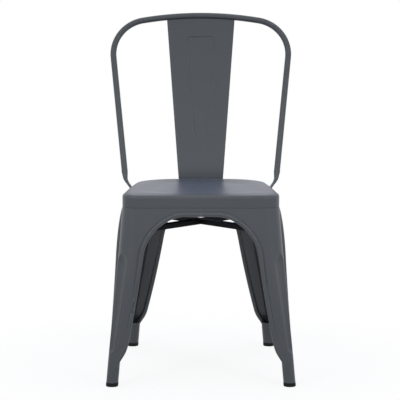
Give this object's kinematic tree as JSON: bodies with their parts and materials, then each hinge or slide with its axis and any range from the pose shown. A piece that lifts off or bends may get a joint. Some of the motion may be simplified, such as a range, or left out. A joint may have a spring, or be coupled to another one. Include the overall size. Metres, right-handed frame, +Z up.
{
  "type": "chair",
  "caption": "Stackable café side chair of pressed sheet steel with fluted splayed legs, a bent tube back hoop, a tapered sheet splat and rubber feet.",
  "frame": {"origin": "on the floor, under the middle of the chair's width and depth", "axes": "+Z up, -Y is the way the chair faces, +X to the right of a person who faces its front"},
  "size_m": [0.4514, 0.5132, 0.849],
  "materials": {
    "powder_coat": "matt powder coat, dark grey",
    "rivet": "steel rivets under the same dark grey powder coat",
    "rubber": "matt black"
  },
  "bodies": {
    "root": {"seat_pan": "powder_coat", "front_left_leg": "powder_coat", "front_right_leg": "powder_coat", "rear_left_leg": "powder_coat", "rear_right_leg": "powder_coat", "brace_bar_lower": "powder_coat", "brace_bar_upper": "powder_coat", "back_hoop": "powder_coat", "back_splat": "powder_coat", "hoop_rivets": "rivet", "splat_rivets": "rivet", "front_left_foot": "rubber", "front_right_foot": "rubber", "rear_left_foot": "rubber", "rear_right_foot": "rubber"}
  },
  "joints": []
}
